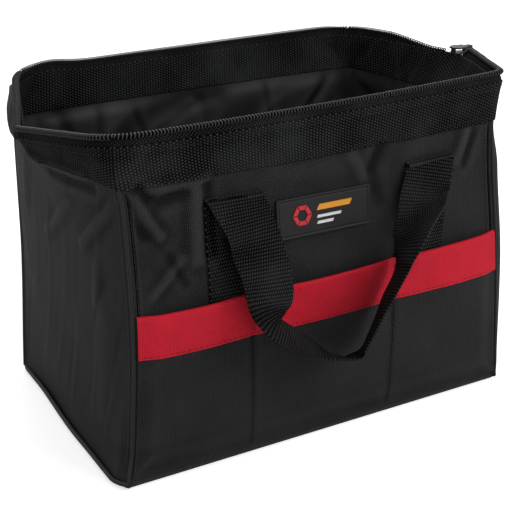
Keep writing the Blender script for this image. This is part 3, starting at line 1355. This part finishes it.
def light_surroundings(scene, strength):
    """White backdrop that lights the bag less than it shows."""
    scene.world = bpy.data.worlds.new("Studio")
    scene.world.use_nodes = True
    n = Nodes(scene.world.node_tree)
    rays = n.add("ShaderNodeLightPath").outputs
    mirrored = n.sum("MAXIMUM", rays["Is Glossy Ray"], rays["Is Transmission Ray"])
    seen = n.sum("MAXIMUM", rays["Is Camera Ray"], mirrored)
    backdrop = n.tree.nodes["Background"].inputs
    backdrop["Color"].default_value = WHITE
    n.link(n.add("ShaderNodeMix", {0: seen, 2: strength, 3: 1.0}).outputs[0], backdrop["Strength"])


def lay_floor(floor_glow):
    mesh = bpy.data.meshes.new("Floor")
    corners = [(x * FLOOR_HALF, y * FLOOR_HALF, FLOOR_LEVEL)
               for x, y in ((-1, -1), (1, -1), (1, 1), (-1, 1))]
    mesh.from_pydata(corners, [], [(0, 1, 2, 3)])
    paper = bpy.data.materials.new("White paper")
    paper.use_nodes = True
    n = Nodes(paper.node_tree)
    shader = n.tree.nodes["Principled BSDF"].inputs
    grain = n.add("ShaderNodeTexNoise", {"Scale": 40.0, "Detail": 4.0})
    tone = n.sum("MULTIPLY_ADD", grain.outputs[0], 0.01, 0.945)
    n.link(n.add("ShaderNodeCombineColor", {0: tone, 1: tone, 2: tone}).outputs[0],
           shader["Base Color"])
    shader["Roughness"].default_value = 0.9
    shader["Specular IOR Level"].default_value = 0.1
    shader["Emission Color"].default_value = WHITE
    rays = n.add("ShaderNodeLightPath").outputs
    n.link(n.sum("MULTIPLY", rays["Is Camera Ray"], floor_glow), shader["Emission Strength"])
    mesh.materials.append(paper)
    placed("Floor", mesh)


def length_property(name, description, default, least):
    return bpy.props.FloatProperty(name=name, description=description, default=default, min=least,
                                   precision=5, unit="LENGTH")


def colour_property(name, description, default):
    return bpy.props.FloatVectorProperty(
        name=name, description=description, default=default, size=3, min=0.0, max=1.0,
        subtype="COLOR_GAMMA")


def light_property(name, description, default, unit="POWER"):
    return bpy.props.FloatProperty(name=name, description=description, default=default, min=0.0,
                                   unit=unit)


class ToolBagSizes(bpy.types.PropertyGroup):
    cloth_pitch: length_property(
        "Cloth pitch", "Distance between the yarns of the bag's cloth", 0.00115, 0.0003)
    webbing_rib: length_property(
        "Webbing rib", "Distance between the ribs of the webbing", 0.0023, 0.0005)
    webbing_dash: length_property(
        "Webbing dash", "Distance between the dots along a rib of the webbing", 0.0019, 0.0005)
    coil_pitch: length_property(
        "Coil pitch", "Distance between the turns of the zip's coil", 0.00225, 0.001)
    coil_wire: length_property(
        "Coil wire", "Half the thickness of the coil's wire", 0.00043, 0.0002)


class ToolBagColours(bpy.types.PropertyGroup):
    cloth: colour_property("Cloth", "Outer cloth of the bag", (0.118, 0.118, 0.12))
    lining: colour_property("Lining", "Satin lining", (0.12, 0.12, 0.122))
    webbing: colour_property("Webbing", "Straps, handles and mouth band", (0.085, 0.089, 0.087))
    binding: colour_property("Binding", "Binding of the pockets", (0.80, 0.135, 0.205))
    thread: colour_property("Thread", "Sewing thread", (0.10, 0.10, 0.10))
    red_thread: colour_property("Red thread", "Stitching of the binding", (0.64, 0.10, 0.155))
    coil: colour_property("Coil", "Zip coil", (0.19, 0.19, 0.193))
    cord: colour_property("Cord", "Cord inside the zip coil", (0.02, 0.02, 0.02))
    piping: colour_property("Piping", "Piping of the seams", (0.085, 0.085, 0.087))
    badge: colour_property("Badge", "Rubber of the badge", (0.135, 0.135, 0.137))
    amber: colour_property("Amber", "Amber bar of the badge", (0.93, 0.62, 0.12))
    white: colour_property("White", "White bars of the badge", (0.92, 0.92, 0.92))
    board: colour_property("Board", "Board under the floor", (0.17, 0.17, 0.175))
    metal: colour_property("Metal", "Slider and pull", (0.12, 0.12, 0.125))


class ToolBagStage(bpy.types.PropertyGroup):
    key_power: light_property("Key light", "Power of the key light", 14.0)
    fill_power: light_property("Fill light", "Power of the fill light", 13.0)
    side_power: light_property("Side light", "Power of the light from the left", 3.0)
    back_power: light_property("Back light", "Power of the light from behind", 8.0)
    top_power: light_property("Top light", "Power of the light from above", 14.0)
    world_light: light_property(
        "Surrounding light", "Strength of the light from all round", 0.2, "NONE")
    floor_glow: light_property(
        "Floor glow", "Light added to the floor as the camera sees it", 0.6, "NONE")


class SewBody(bpy.types.Operator):
    """Sew the two walls, the two ends and the floor of the bag"""
    bl_idname = "tool_bag.sew_body"
    bl_label = "Sew the body"

    def execute(self, context):
        for wall in WALLS:
            sew_wall_cloth(wall)
        for end in ENDS:
            sew_end_cloth(end)
        sew_floor()
        return {"FINISHED"}


class SewMouth(bpy.types.Operator):
    """Sew the band, facing and zip tape round the mouth"""
    bl_idname = "tool_bag.sew_mouth"
    bl_label = "Sew the mouth"

    def execute(self, context):
        for wall in WALLS:
            sew_mouth_of_wall(wall)
        for end in ENDS:
            sew_mouth_of_end(end)
        return {"FINISHED"}


class FitZip(bpy.types.Operator):
    """Wind the zip's coils and cover its tails"""
    bl_idname = "tool_bag.fit_zip"
    bl_label = "Fit the zip"

    def execute(self, context):
        wind_coils()
        sew_tails()
        return {"FINISHED"}


class SewPockets(bpy.types.Operator):
    """Sew the pocket panels and their bindings"""
    bl_idname = "tool_bag.sew_pockets"
    bl_label = "Sew the pockets"

    def execute(self, context):
        for wall in WALLS:
            sew_pockets(wall)
        return {"FINISHED"}


class SewStraps(bpy.types.Operator):
    """Sew the straps and carrying handles"""
    bl_idname = "tool_bag.sew_straps"
    bl_label = "Sew the straps and handles"

    def execute(self, context):
        for wall in WALLS:
            sew_straps(wall)
            sew_handle(wall)
            sew_handle_folds(wall)
        return {"FINISHED"}


class SewPiping(bpy.types.Operator):
    """Sew the piping down the corners and along the ends' feet"""
    bl_idname = "tool_bag.sew_piping"
    bl_label = "Sew the piping"

    def execute(self, context):
        for name, wall, sign in (("front_left", FRONT_WALL, -1), ("front_right", FRONT_WALL, 1),
                                 ("back_right", BACK_WALL, -1), ("back_left", BACK_WALL, 1)):
            sew_corner_piping(name, wall, sign)
        for end in ENDS:
            sew_bottom_piping(end)
        return {"FINISHED"}


class SewStitches(bpy.types.Operator):
    """Lay the visible stitches along the seams"""
    bl_idname = "tool_bag.sew_stitches"
    bl_label = "Sew the stitches"

    def execute(self, context):
        for wall in WALLS:
            sew_wall_stitches(wall)
        for end in ENDS:
            sew_end_stitches(end)
        return {"FINISHED"}


class MouldBadge(bpy.types.Operator):
    """Mould the rubber badge"""
    bl_idname = "tool_bag.mould_badge"
    bl_label = "Mould the badge"

    def execute(self, context):
        mould_badge()
        return {"FINISHED"}


class FinishHardParts(bpy.types.Operator):
    """Finish the slider, its pull and the board"""
    bl_idname = "tool_bag.finish_hard_parts"
    bl_label = "Finish the hard parts"

    def execute(self, context):
        finish_hard_parts()
        return {"FINISHED"}


class SetStage(bpy.types.Operator):
    """Set the floor, lights, surroundings and camera"""
    bl_idname = "tool_bag.set_stage"
    bl_label = "Set the stage"

    def execute(self, context):
        settings = context.scene.tool_bag_stage
        context.scene.view_settings.view_transform = "Standard"
        set_camera(context.scene)
        hang_lamps(settings)
        light_surroundings(context.scene, settings.world_light)
        lay_floor(settings.floor_glow)
        return {"FINISHED"}


STEPS = (SewBody, SewMouth, FitZip, SewPockets, SewStraps, SewPiping, SewStitches, MouldBadge,
         FinishHardParts, SetStage)
SETTINGS = {"tool_bag_sizes": ToolBagSizes, "tool_bag_colours": ToolBagColours,
            "tool_bag_stage": ToolBagStage}


class ToolBagPanel(bpy.types.Panel):
    """Tool bag settings and steps"""
    bl_idname = "VIEW3D_PT_tool_bag"
    bl_label = "Tool Bag"
    bl_space_type = "VIEW_3D"
    bl_region_type = "UI"
    bl_category = "Tool Bag"

    def draw(self, context):
        for settings, kind in SETTINGS.items():
            for name in kind.__annotations__:
                self.layout.prop(getattr(context.scene, settings), name)
        for step in STEPS:
            self.layout.operator(step.bl_idname)


CLASSES = (*SETTINGS.values(), *STEPS, ToolBagPanel)


def register():
    for made in CLASSES:
        bpy.utils.register_class(made)
    for name, kind in SETTINGS.items():
        setattr(bpy.types.Scene, name, bpy.props.PointerProperty(type=kind))


def unregister():
    for name in SETTINGS:
        delattr(bpy.types.Scene, name)
    for made in reversed(CLASSES):
        bpy.utils.unregister_class(made)


def main():
    register()
    build_finishes()
    for step in STEPS:
        group, name = step.bl_idname.split(".")
        getattr(getattr(bpy.ops, group), name)()


if __name__ == "__main__":
    main()
